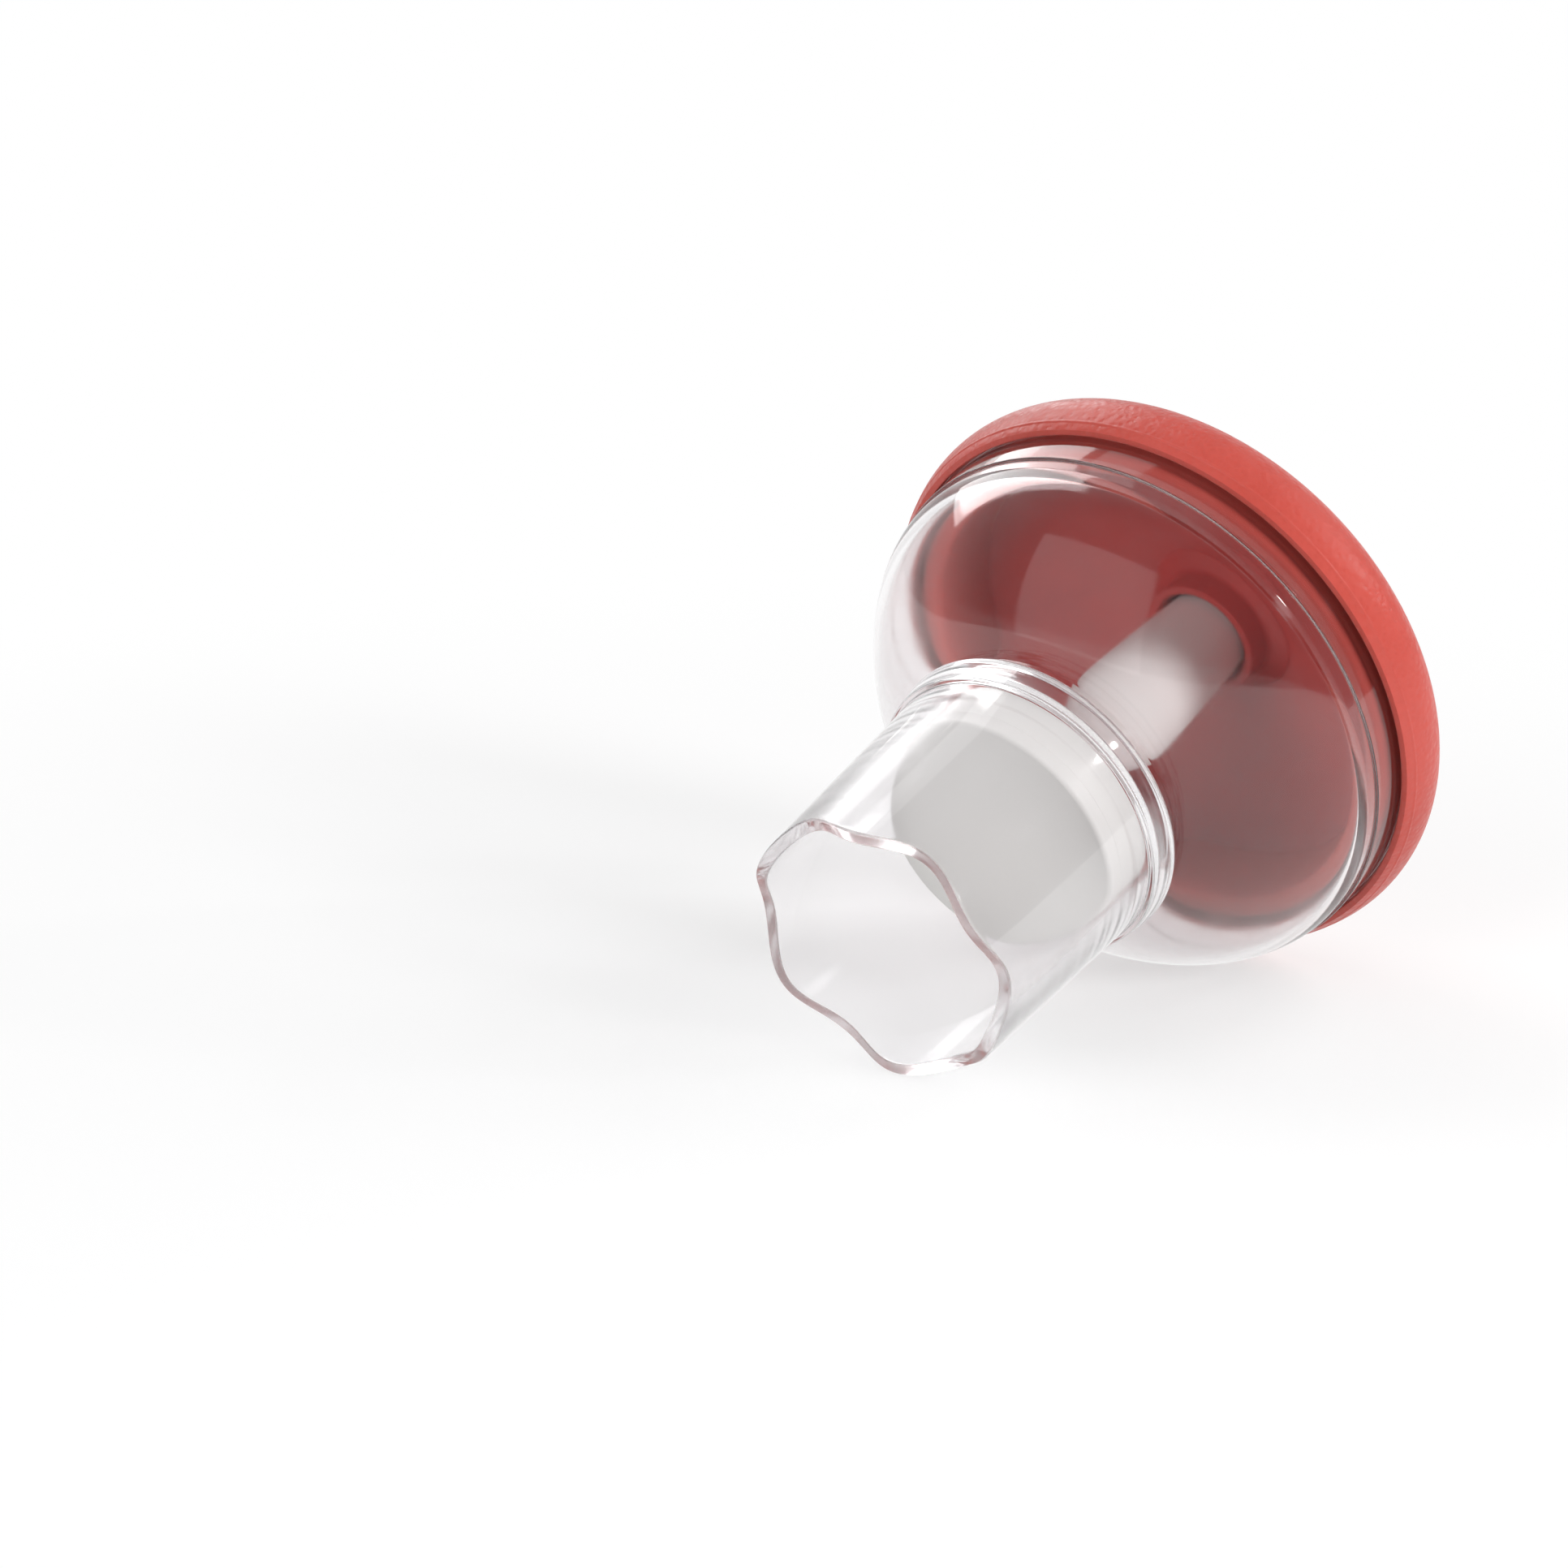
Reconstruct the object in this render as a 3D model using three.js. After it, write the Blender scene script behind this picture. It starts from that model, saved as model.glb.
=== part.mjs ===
// Cupcake corer, standing on the tips of its cutting edge, axis along +Z, millimetres.
// A clear tapered tube cuts the core and a clear bowl above it fits the palm.
// Pressing the soft cap pushes the plunger down the tube, and the core comes out of the mouth.
import * as THREE from 'three';

// Clearances
const SEAT_GAP = 0.3; // between pieces that sit in one another
const HEAD_CLEARANCE = 0.3; // plunger head in the narrow end of the bore

// Cutter tube
const TEETH = 6;
const TOOTH_HEIGHT = 2.0; // tip to valley of the wavy edge
const MOUTH_RADIUS = 16.1; // outside, at the cutting edge
const TUBE_TAPER = 1.1; // outside radius gained from the edge up to the collar
const MOUTH_WALL = 1.5; // at the mouth, above the bevel
const TUBE_TOP_WALL = 2.2;
const TUBE_LENGTH = 27.6; // tooth tips to the collar, the depth of a core
const EDGE_BEVEL = 0.5; // the wall thins this much towards the edge
const EDGE_BEVEL_HEIGHT = 0.8;
const EDGE_ZONE = 6.0; // height over which the wavy edge runs out into the wall
const COLLAR_HEIGHT = 4.0;
const COLLAR_LEDGE = 0.6; // how far the collar's lower edge stands out from the tube
const COLLAR_STEP = 1.1; // and its upper edge
const COLLAR_ROUND = 0.6;
const NECK_SOCKET_DEPTH = 2.0; // recess in the collar for the bowl's neck

// Bowl
const NECK_SHOULDER = 1.0; // the neck stands out this much from its spigot
const NECK_HEIGHT = 1.6;
const NECK_SPIGOT_WALL = 0.9;
const BOWL_RADIUS = 32.35;
const BELL_HEIGHT = 15.3;
const BELL_FULLNESS = 1.41; // 1 is a straight cone, 2 a quarter of an ellipse
const BOWL_WALL = 2.0;
const SIDE_HEIGHT = 1.5; // upright wall between the bell and the rim band
const RIM_BAND_STEP = 0.35; // the rim band stands out this much from the bowl
const RIM_BAND_HEIGHT = 7.25;
const RIM_BEAD_STEP = 0.4; // bead that holds the cap, proud of the rim band
const RIM_BEAD_HEIGHT = 1.7;

// Soft cap
const CAP_EDGE_WALL = 1.6; // silicone outside the bowl's bead, at the widest point
const CAP_EDGE_ROUND = 6.0;
const CAP_EDGE_RISE = 0.4; // widest point of the cap above the bowl's rim
const CROWN_HEIGHT = 16.0; // top of the dome above the widest point
const CAP_WALL = 2.4;
const LIP_DROP = 3.2; // the cap's lip hangs this far below the bowl's rim
const SKIRT_DROP = 3.6; // the skirt inside the bowl hangs this far below it
const SKIRT_THICKNESS = 2.55;
const BUTTON_RADIUS = 10.5; // the centre that moves with the plunger
const BUTTON_THICKNESS = 3.2;
const SOCKET_DROP = 10.0; // lower edge of the stem socket below the crown
const SOCKET_WALL = 1.1;
const SOCKET_ROOT_RADIUS = 9.6; // the socket widens to this under the dome

// Plunger
const FACE_INSET = 4.7; // plunger's face at rest, below the collar's ledge
const FACE_THICKNESS = 2.0;
const FACE_BEVEL = 0.4;
const FACE_SPIGOT_HEIGHT = 2.5;
const HEAD_HEIGHT = 7.0; // face to the top of the head's straight side
const FLARE_HEIGHT = 17.0; // from the head's side up to the bare stem
const PLUNGER_WALL = 1.8;
const STEM_RADIUS = 6.4;

// Facets round the axis and along the outlines
const SIDES = 48;
const SIDES_PER_TOOTH = 12;
const COLLAR_ROUND_STEPS = 3;
const BELL_STEPS = 10;
const CAP_EDGE_STEPS = 8;
const CAP_SHOULDER_STEPS = 2;
const WEB_STEPS = 5;
const BUTTON_STEPS = 3;
const FLARE_STEPS = 6;

// Heights and radii that follow from the sizes above
const boreMouthRadius = MOUTH_RADIUS - MOUTH_WALL;
const tubeTopRadius = MOUTH_RADIUS + TUBE_TAPER;
const boreTopRadius = tubeTopRadius - TUBE_TOP_WALL;
const collarRadius = tubeTopRadius + COLLAR_STEP;
const collarTop = TUBE_LENGTH + COLLAR_HEIGHT;
const neckTop = collarTop + NECK_HEIGHT;
const shoulderHeight = neckTop + BELL_HEIGHT;
const bandBase = shoulderHeight + SIDE_HEIGHT;
const rimTop = bandBase + RIM_BAND_STEP + RIM_BAND_HEIGHT;
const bandRadius = BOWL_RADIUS + RIM_BAND_STEP;
const beadRadius = bandRadius + RIM_BEAD_STEP;
const bowlInnerRadius = BOWL_RADIUS - BOWL_WALL;
const spigotRadius = boreTopRadius + NECK_SPIGOT_WALL;
const neckRadius = spigotRadius + NECK_SHOULDER;
const edgeHeight = rimTop + CAP_EDGE_RISE;
const capRadius = beadRadius + SEAT_GAP + CAP_EDGE_WALL;
const edgeCentreRadius = capRadius - CAP_EDGE_ROUND;
const crownTop = edgeHeight + CROWN_HEIGHT;
const skirtOuterRadius = bowlInnerRadius - SEAT_GAP;
const skirtInnerRadius = skirtOuterRadius - SKIRT_THICKNESS;
const coreDepth = TUBE_LENGTH - FACE_INSET;
const headRadius = boreMouthRadius - HEAD_CLEARANCE;
const headBase = coreDepth + FACE_THICKNESS;
const flareBase = coreDepth + HEAD_HEIGHT;
const flareTop = flareBase + FLARE_HEIGHT;
const socketBoreRadius = STEM_RADIUS + SEAT_GAP;
const socketBase = crownTop - SOCKET_DROP;
const socketRoof = crownTop - BUTTON_THICKNESS;
const stemTop = socketRoof - SEAT_GAP;

const point = (radius, height) => new THREE.Vector2(radius, height);

// Points on a round stretch of an outline, angles in radians from the radial direction.
function arc(centreRadius, centreHeight, radius, from, to, steps) {
  return Array.from({ length: steps + 1 }, (_, i) => {
    const angle = from + ((to - from) * i) / steps;
    return point(centreRadius + radius * Math.cos(angle), centreHeight + radius * Math.sin(angle));
  });
}

// The bell between a neck and an upright side: |x|^n + |y|^n = 1, with n the fullness.
function bell(bottomRadius, sideRadius, baseHeight, topHeight) {
  const power = 2 / BELL_FULLNESS;
  return Array.from({ length: BELL_STEPS + 1 }, (_, i) => {
    const angle = (Math.PI / 2) * (i / BELL_STEPS);
    const out = Math.sin(angle) ** power;
    const down = Math.cos(angle) ** power;
    return point(
      bottomRadius + (sideRadius - bottomRadius) * out,
      topHeight - (topHeight - baseHeight) * down,
    );
  });
}

// A closed outline that runs up the outside and down the inside, turned round +Z.
function revolve(outline, sides) {
  const geometry = new THREE.LatheGeometry([...outline, outline[0].clone()], sides);
  return geometry.rotateX(Math.PI / 2);
}

function addPiece(group, name, geometry, material) {
  const mesh = new THREE.Mesh(geometry, material);
  mesh.name = name;
  group.add(mesh);
}

// The dome's outer surface is one arc through the crown, tangent inside to the edge round.
const domeRadius =
  (edgeCentreRadius ** 2 + CROWN_HEIGHT ** 2 - CAP_EDGE_ROUND ** 2) /
  (2 * (CROWN_HEIGHT - CAP_EDGE_ROUND));
const domeCentre = crownTop - domeRadius;
const edgeSweep = Math.atan2(edgeHeight - domeCentre, edgeCentreRadius);
const domeHeight = (radius) => domeCentre + Math.sqrt(domeRadius ** 2 - radius ** 2);

// Points on the dome between two radii, lowered by a wall thickness.
function domeLine(from, to, drop, steps) {
  return Array.from({ length: steps + 1 }, (_, i) => {
    const radius = from + ((to - from) * i) / steps;
    return point(radius, domeHeight(radius) - drop);
  });
}

function clearPlastic() {
  return new THREE.MeshStandardMaterial({
    color: 0xe9ecef,
    roughness: 0.05,
    metalness: 0,
    transparent: true,
    opacity: 0.3,
  });
}

function redSilicone() {
  return new THREE.MeshStandardMaterial({ color: 0xc8382f, roughness: 0.55, metalness: 0 });
}

function whitePlastic() {
  return new THREE.MeshStandardMaterial({ color: 0xf1efec, roughness: 0.35, metalness: 0 });
}

// Tapered tube with a bevelled mouth, and a stop collar recessed for the bowl's neck.
function cutterTube() {
  const boreAt = (height) =>
    boreMouthRadius + (boreTopRadius - boreMouthRadius) * (height / collarTop);
  const wallAt = (height) =>
    MOUTH_RADIUS + TUBE_TAPER * (height / TUBE_LENGTH);
  const socketRadius = spigotRadius + SEAT_GAP;
  const socketFloor = collarTop - NECK_SOCKET_DEPTH;
  const outline = [
    point(boreMouthRadius, 0),
    point(MOUTH_RADIUS - EDGE_BEVEL, 0),
    point(MOUTH_RADIUS, EDGE_BEVEL_HEIGHT),
    point(wallAt(EDGE_ZONE), EDGE_ZONE),
    point(tubeTopRadius, TUBE_LENGTH),
    point(tubeTopRadius + COLLAR_LEDGE, TUBE_LENGTH),
    ...arc(
      collarRadius - COLLAR_ROUND,
      collarTop - COLLAR_ROUND,
      COLLAR_ROUND,
      0,
      Math.PI / 2,
      COLLAR_ROUND_STEPS,
    ),
    point(socketRadius, collarTop),
    point(socketRadius, socketFloor),
    point(boreAt(socketFloor), socketFloor),
    point(boreAt(EDGE_ZONE), EDGE_ZONE),
  ];
  const geometry = revolve(outline, SIDES_PER_TOOTH * TEETH);
  cutTeeth(geometry.attributes.position);
  return geometry;
}

// The cutting edge rises and falls as a cosine round the tube, and fades out up the wall.
function cutTeeth(position) {
  for (let i = 0; i < position.count; i += 1) {
    const height = position.getZ(i);
    const fade = Math.max(0, 1 - height / EDGE_ZONE);
    const angle = Math.atan2(position.getY(i), position.getX(i));
    const wave = (TOOTH_HEIGHT / 2) * (1 - Math.cos(TEETH * angle));
    position.setZ(i, height + fade * wave);
  }
}

// Bell-shaped bowl: a spigot in the collar, a rounded bell, a rim band and a bead for the cap.
function bowl() {
  const spigotEnd = collarTop - NECK_SOCKET_DEPTH + SEAT_GAP;
  const beadBase = rimTop - RIM_BEAD_HEIGHT;
  return revolve([
    point(boreTopRadius, spigotEnd),
    point(spigotRadius, spigotEnd),
    point(spigotRadius, collarTop),
    point(neckRadius, collarTop),
    ...bell(neckRadius, BOWL_RADIUS, neckTop, shoulderHeight),
    point(BOWL_RADIUS, bandBase),
    point(bandRadius, bandBase + RIM_BAND_STEP),
    point(bandRadius, beadBase),
    point(beadRadius, beadBase + RIM_BEAD_STEP),
    point(beadRadius, rimTop - RIM_BEAD_STEP),
    point(bandRadius, rimTop),
    point(bowlInnerRadius, rimTop),
    ...bell(boreTopRadius, bowlInnerRadius, neckTop + BOWL_WALL, shoulderHeight).reverse(),
  ], SIDES);
}

// Rolled rim of the cap: it wraps the bowl's bead outside and hangs a skirt inside.
function capRim() {
  const lipHeight = rimTop - LIP_DROP;
  const lipAngle = Math.asin((lipHeight - edgeHeight) / CAP_EDGE_ROUND);
  const grooveTop = rimTop + SEAT_GAP;
  const grooveRadius = beadRadius + SEAT_GAP;
  const grooveBase = rimTop - RIM_BEAD_HEIGHT - SEAT_GAP;
  const tangentRadius = edgeCentreRadius + CAP_EDGE_ROUND * Math.cos(edgeSweep);
  return revolve([
    point(bandRadius + SEAT_GAP, lipHeight),
    ...arc(edgeCentreRadius, edgeHeight, CAP_EDGE_ROUND, lipAngle, edgeSweep, CAP_EDGE_STEPS),
    ...domeLine(tangentRadius, skirtInnerRadius, 0, CAP_SHOULDER_STEPS).slice(1),
    point(skirtInnerRadius, rimTop - SKIRT_DROP),
    point(skirtOuterRadius, rimTop - SKIRT_DROP),
    point(skirtOuterRadius, grooveTop),
    point(grooveRadius, grooveTop),
    point(grooveRadius, grooveBase + RIM_BEAD_STEP),
    point(bandRadius + SEAT_GAP, grooveBase),
  ], SIDES);
}

// Flexible web of the dome, between the rim and the centre.
function capWeb() {
  const outer = skirtInnerRadius - SEAT_GAP;
  const inner = BUTTON_RADIUS + SEAT_GAP;
  return revolve([
    ...domeLine(inner, outer, CAP_WALL, WEB_STEPS),
    ...domeLine(outer, inner, 0, WEB_STEPS),
  ], SIDES);
}

// Centre of the dome, with the socket that grips the plunger's stem.
function capButton() {
  const rootHeight = domeHeight(SOCKET_ROOT_RADIUS) - CAP_WALL;
  return revolve([
    point(0, socketRoof),
    point(socketBoreRadius, socketRoof),
    point(socketBoreRadius, socketBase),
    point(socketBoreRadius + SOCKET_WALL, socketBase),
    point(socketBoreRadius + SOCKET_WALL, (socketBase + rootHeight) / 2),
    point(SOCKET_ROOT_RADIUS, rootHeight),
    point(BUTTON_RADIUS, domeHeight(BUTTON_RADIUS) - CAP_WALL),
    ...domeLine(BUTTON_RADIUS, 0, 0, BUTTON_STEPS),
  ], SIDES);
}

// Hollow stem that flares like a trumpet into the straight side of the head.
function plunger() {
  const flare = (radius, stem, base, top) =>
    Array.from({ length: FLARE_STEPS + 1 }, (_, i) => {
      const angle = (Math.PI / 2) * (i / FLARE_STEPS);
      return point(
        radius - (radius - stem) * Math.sin(angle),
        top - (top - base) * Math.cos(angle),
      );
    });
  const bore = STEM_RADIUS - PLUNGER_WALL;
  const hollowRadius = headRadius - PLUNGER_WALL;
  return revolve([
    point(hollowRadius, headBase),
    point(headRadius, headBase),
    ...flare(headRadius, STEM_RADIUS, flareBase, flareTop),
    point(STEM_RADIUS, stemTop),
    point(bore, stemTop),
    ...flare(hollowRadius, bore, flareBase - PLUNGER_WALL, flareTop).reverse(),
  ], SIDES);
}

// Flat face that pushes the core out, plugged into the hollow head.
function plungerFace() {
  const spigot = headRadius - PLUNGER_WALL - SEAT_GAP;
  return revolve([
    point(0, coreDepth),
    point(headRadius - FACE_BEVEL, coreDepth),
    point(headRadius, coreDepth + FACE_BEVEL),
    point(headRadius, headBase),
    point(spigot, headBase),
    point(spigot, headBase + FACE_SPIGOT_HEIGHT),
    point(0, headBase + FACE_SPIGOT_HEIGHT),
  ], SIDES);
}

const corer = new THREE.Group();
addPiece(corer, 'cutter_tube', cutterTube(), clearPlastic());
addPiece(corer, 'bowl', bowl(), clearPlastic());
addPiece(corer, 'cap_rim', capRim(), redSilicone());
addPiece(corer, 'cap_web', capWeb(), redSilicone());
addPiece(corer, 'cap_button', capButton(), redSilicone());
addPiece(corer, 'plunger', plunger(), whitePlastic());
addPiece(corer, 'plunger_face', plungerFace(), whitePlastic());

export default corer;
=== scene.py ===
"""Cupcake corer lying on a pale table: a clear wavy-edged tube and bowl, a soft red cap and a white plunger."""
import math
from typing import NamedTuple

import bpy
import numpy as np
from mathutils import Matrix, Vector


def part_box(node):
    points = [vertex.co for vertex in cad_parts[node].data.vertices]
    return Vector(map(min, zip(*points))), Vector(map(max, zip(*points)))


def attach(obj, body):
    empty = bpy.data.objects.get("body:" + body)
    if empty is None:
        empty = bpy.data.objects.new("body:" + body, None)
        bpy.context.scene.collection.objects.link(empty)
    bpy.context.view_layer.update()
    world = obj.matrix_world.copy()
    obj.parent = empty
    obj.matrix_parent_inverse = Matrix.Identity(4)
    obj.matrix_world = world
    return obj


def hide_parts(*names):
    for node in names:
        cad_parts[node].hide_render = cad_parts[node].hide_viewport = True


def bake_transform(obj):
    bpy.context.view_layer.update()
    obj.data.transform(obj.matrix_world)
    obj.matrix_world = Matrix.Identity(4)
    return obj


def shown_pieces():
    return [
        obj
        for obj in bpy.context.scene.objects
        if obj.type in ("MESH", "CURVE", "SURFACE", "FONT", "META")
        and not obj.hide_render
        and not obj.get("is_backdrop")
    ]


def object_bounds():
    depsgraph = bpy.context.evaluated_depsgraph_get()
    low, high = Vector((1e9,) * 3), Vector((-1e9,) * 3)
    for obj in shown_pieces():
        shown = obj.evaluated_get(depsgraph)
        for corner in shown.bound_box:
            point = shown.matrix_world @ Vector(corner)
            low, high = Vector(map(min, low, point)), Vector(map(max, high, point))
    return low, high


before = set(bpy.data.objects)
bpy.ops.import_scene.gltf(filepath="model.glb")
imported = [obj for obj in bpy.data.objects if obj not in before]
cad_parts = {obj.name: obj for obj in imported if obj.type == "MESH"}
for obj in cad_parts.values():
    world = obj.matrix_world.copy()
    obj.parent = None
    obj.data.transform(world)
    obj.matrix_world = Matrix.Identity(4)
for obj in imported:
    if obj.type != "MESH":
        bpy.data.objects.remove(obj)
cad_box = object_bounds()

bl_info = {
    "name": "Cupcake corer",
    "version": (1, 0, 0),
    "blender": (4, 5, 0),
    "location": "3D View > Sidebar > Corer",
    "description": "Builds a cupcake corer round its packed CAD frame and stages it on a table",
    "category": "Object",
}

MM = 0.001
PHOTO_PIXELS = 1932
SENSOR_WIDTH = 36.0
# Vertices round each turned piece. The tube has the most, for the waves of its edge.
TUBE_SIDES = 576
BOWL_SIDES = 480
CAP_SIDES = 240
SOCKET_SIDES = 192
PLUNGER_SIDES = 240
# Points along the curves of the outlines.
ARC_STEPS = 6
BELL_POINTS = 52
FLARE_POINTS = 64
LIP_POINTS = 52
EDGE_POINTS = 40
CROWN_POINTS = 90
UNDERSIDE_POINTS = 5
# Stretch of the cap's rolled edge, in radians from the lip, that has close points for the moulded line.
LIP_STRETCH = 0.45
# Half a corner's angle, in radians, past which the corner counts as straight.
STRAIGHT = 1.56
SHARP_DEGREES = 38
TINY = 1e-9

TABLE_RADIUS = 3.0
TABLE_RINGS = 30
TABLE_SIDES = 96
TABLE_GAP = 0.02 * MM
# Distances from the corer between which its shadow fades out, in metres.
SHADOW_FADE = (0.10, 0.24)
# Slants of the view between which the table turns plain, 0 from straight above and 1 along it.
GRAZE_FADE = (0.86, 0.96)
# Brightness of the table as a light, as seen where it is plain, and as seen where it takes shadows.
TABLE_LIGHT = 0.7
PLAIN_SEEN = 1.0
SHADED_SEEN = 0.96
# Cosines of the angle to the front between which the white backdrop gives way to the dim room: first for light and for
# what shows through clear plastic, then for reflections.
ROOM_FADE = (-0.4, 0.2)
MIRROR_FADE = (-0.95, -0.5)
# Bounces of light that clear plastic and mirrored surfaces are given.
CLEAR_BOUNCES = 24
MIRROR_BOUNCES = 16
LAMP_DISTANCE = 0.8


class Lamp(NamedTuple):
    """A soft box that faces the corer. Its azimuth counts from the camera's side, positive to the right, and its
    elevation from the table. wide and high are the angles that it covers. All four are in degrees. lights, mirrored
    and through say whether it lights surfaces, shows in reflections and shows through clear plastic."""

    name: str
    azimuth: float
    elevation: float
    wide: float
    high: float
    radiance: float
    lights: bool = True
    mirrored: bool = True
    through: bool = False


LAMPS = (
    Lamp("soft_box_left", -132.5, 41.0, 27.0, 46.0, 2.3, mirrored=False),
    Lamp("gleam_left", -134.5, 43.0, 27.0, 46.0, 4.5, lights=False, through=True),
    Lamp("gleam_back", -170.0, 34.0, 13.0, 32.0, 3.0, lights=False),
    Lamp("soft_box_back", -168.0, 23.0, 12.0, 18.0, 1.2, through=True),
    Lamp("strip_above", -170.0, 61.0, 20.0, 14.0, 0.9),
    Lamp("spot_right", 92.0, 28.4, 4.0, 4.0, 55.0),
    Lamp("spot_above", 71.0, 38.0, 3.6, 3.6, 36.0),
    Lamp("fill_right_back", 112.0, 42.0, 30.0, 30.0, 4.0, mirrored=False),
    Lamp("fill_right_front", 45.0, 21.0, 14.0, 14.0, 37.0, mirrored=False),
    Lamp("panel_front_left", -49.0, 20.0, 48.0, 46.0, 0.95),
    Lamp("fill_front", -38.0, 16.0, 30.0, 26.0, 5.0, mirrored=False),
)


def length(name, description, millimetres):
    """A size in the sidebar, written here in millimetres and kept in metres."""
    return bpy.props.FloatProperty(
        name=name, description=description, default=millimetres * MM, unit="LENGTH", precision=5
    )


def colour(name, description, red, green, blue):
    """A linear colour in the sidebar."""
    return bpy.props.FloatVectorProperty(
        name=name, description=description, default=(red, green, blue), size=3, subtype="COLOR", min=0, max=1
    )


def top_of(node):
    """Highest point of a CAD node, in millimetres."""
    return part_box(node)[1].z / MM


def widest_of(node):
    """Largest reach of a CAD node along X or Y, in millimetres."""
    return max(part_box(node)[1].x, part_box(node)[1].y) / MM


class ClearSizes(bpy.types.PropertyGroup):
    """Sizes of the clear tube and bowl."""

    teeth: bpy.props.IntProperty(name="Teeth", description="Waves round the cutting edge", default=6)
    tooth_height: length("Tooth height", "Tip to valley of the cutting edge", 2.0)
    mouth_radius: length("Mouth radius", "Outside of the tube just above its edge", 16.1)
    mouth_bore: length("Mouth bore", "Inside of the tube at its edge", 14.6)
    edge_land: length("Edge land", "Flat of the cutting edge between its two rounds", 1.35)
    edge_bevel_height: length("Edge bevel", "Height of the bevel that thins the edge", 0.3)
    edge_zone: length("Edge zone", "Height over which the waves run out", 6.0)
    tube_length: length("Tube length", "Tooth tips to the collar's ledge", 27.6)
    tube_top_radius: length("Tube top radius", "Outside of the tube under the collar", 17.2)
    top_bore: length("Top bore", "Inside of the tube at the collar", 15.0)
    collar_ledge: length("Collar ledge", "Step of the collar's lower edge", 0.6)
    collar_radius: length("Collar radius", "Outside of the collar at its top", widest_of("cutter_tube"))
    collar_top: length("Collar top", "Height of the collar's top", top_of("cutter_tube"))
    socket_depth: length("Socket depth", "Recess in the collar for the bowl's neck", 2.0)
    spigot_wall: length("Spigot wall", "Wall of the bowl's spigot in the collar", 0.9)
    seat_gap: length("Seat gap", "Clearance between pieces that sit in one another", 0.3)
    neck_radius: length("Neck radius", "Outside of the bowl's neck", 16.9)
    neck_height: length("Neck height", "Neck above the collar", 1.6)
    neck_gap: length("Neck gap", "Fine joint between the collar's top and the neck", 0.04)
    bowl_radius: length("Bowl radius", "Outside of the bowl's side", 32.35)
    bowl_wall: length("Bowl wall", "Thickness of the bowl", 2.0)
    bell_height: length("Bell height", "Neck to the bowl's side", 15.3)
    side_height: length("Side height", "Plain side under the rim band", 1.5)
    band_step: length("Band step", "The rim band stands out this much", 0.35)
    bead_step: length("Bead step", "The bead stands out from the rim band", 0.4)
    bead_height: length("Bead height", "Height of the bead that holds the cap", 1.7)
    rim_top: length("Rim top", "Height of the bowl's rim", top_of("bowl"))
    bell_fullness: bpy.props.FloatProperty(
        name="Bell fullness", description="1 is a straight cone, 2 a quarter of an ellipse", default=1.41
    )


class CapSizes(bpy.types.PropertyGroup):
    """Sizes of the soft cap."""

    radius: length("Cap radius", "Widest radius of the cap", 35.0)
    edge_round: length("Edge round", "Radius of the rolled edge", 6.0)
    edge_rise: length("Edge rise", "Widest point above the bowl's rim", 0.4)
    crown_top: length("Crown top", "Height of the dome", top_of("cap_button"))
    wall: length("Wall", "Thickness of the dome", 2.4)
    lip_wall: length("Lip wall", "Thickness of the skin at the lip", 0.55)
    lip_drop: length("Lip drop", "Lip below the bowl's rim", 3.2)
    line_rise: length("Line rise", "Moulded line above the lip", 0.95)
    line_depth: length("Line depth", "Height of the moulded line", 0.07)
    line_reach: length("Line reach", "Half the width of the moulded line", 0.22)
    lip_gap: length("Lip gap", "Extra clearance of the lip round the rim band", 0.1)
    thin_drop: length("Thin drop", "The skin is thinnest from this far below the bowl's rim", 1.0)
    thin_run: length("Thin run", "Height over which the skin grows to its full wall", 6.0)
    seat_inset: length("Seat inset", "The seat lies under the skin by this", 0.16)
    seat_rise: length("Seat rise", "The seat starts above the lip by this", 0.7)
    skirt_drop: length("Skirt drop", "Skirt below the bowl's rim, inside it", 3.6)
    skirt_inner: length("Skirt inner radius", "Inside of the skirt", 27.5)
    flex_inner: length("Flex inner radius", "Inside this the dome moves with the plunger", 10.5)
    socket_base: length("Socket base", "Lower edge of the stem socket", 65.0)
    socket_bore: length("Socket bore", "Inside of the stem socket", 5.6)
    lead_in: length("Lead-in", "Height of the socket's flared mouth", 0.6)
    lead_in_flare: length("Lead-in flare", "The socket's mouth is wider by this", 0.4)
    socket_radius: length("Socket radius", "Outside of the stem socket", 6.9)
    socket_root: length("Socket root", "Outside of the socket where it joins the dome", 9.6)
    root_flare: length("Root flare", "The socket widens this far below its root", 1.6)
    root_edge: length("Root edge", "Edge of the root below the dome's inside", 0.2)
    socket_roof: length("Socket roof", "Height of the socket's roof", 70.8)


class PlungerSizes(bpy.types.PropertyGroup):
    """Sizes of the plunger."""

    face_height: length("Face height", "Face above the tooth tips at rest", 22.9)
    head_radius: length("Head radius", "Outside of the head", widest_of("plunger"))
    head_height: length("Head height", "Face to the top of the head's straight side", 7.0)
    face_thickness: length("Face thickness", "Thickness of the face", 2.0)
    spigot_height: length("Spigot height", "Plug of the face in the head", 2.5)
    flare_height: length("Flare height", "Head's side up to the bare stem", 17.0)
    stem_radius: length("Stem radius", "Outside of the stem where the flare ends", 6.4)
    tip_radius: length("Tip radius", "Outside of the stem at its top", 4.9)
    wall: length("Wall", "Thickness of the plunger", 1.8)
    stem_top: length("Stem top", "Top of the stem", top_of("plunger"))
    seat_gap: length("Seat gap", "Clearance of the face's plug", 0.3)


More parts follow.
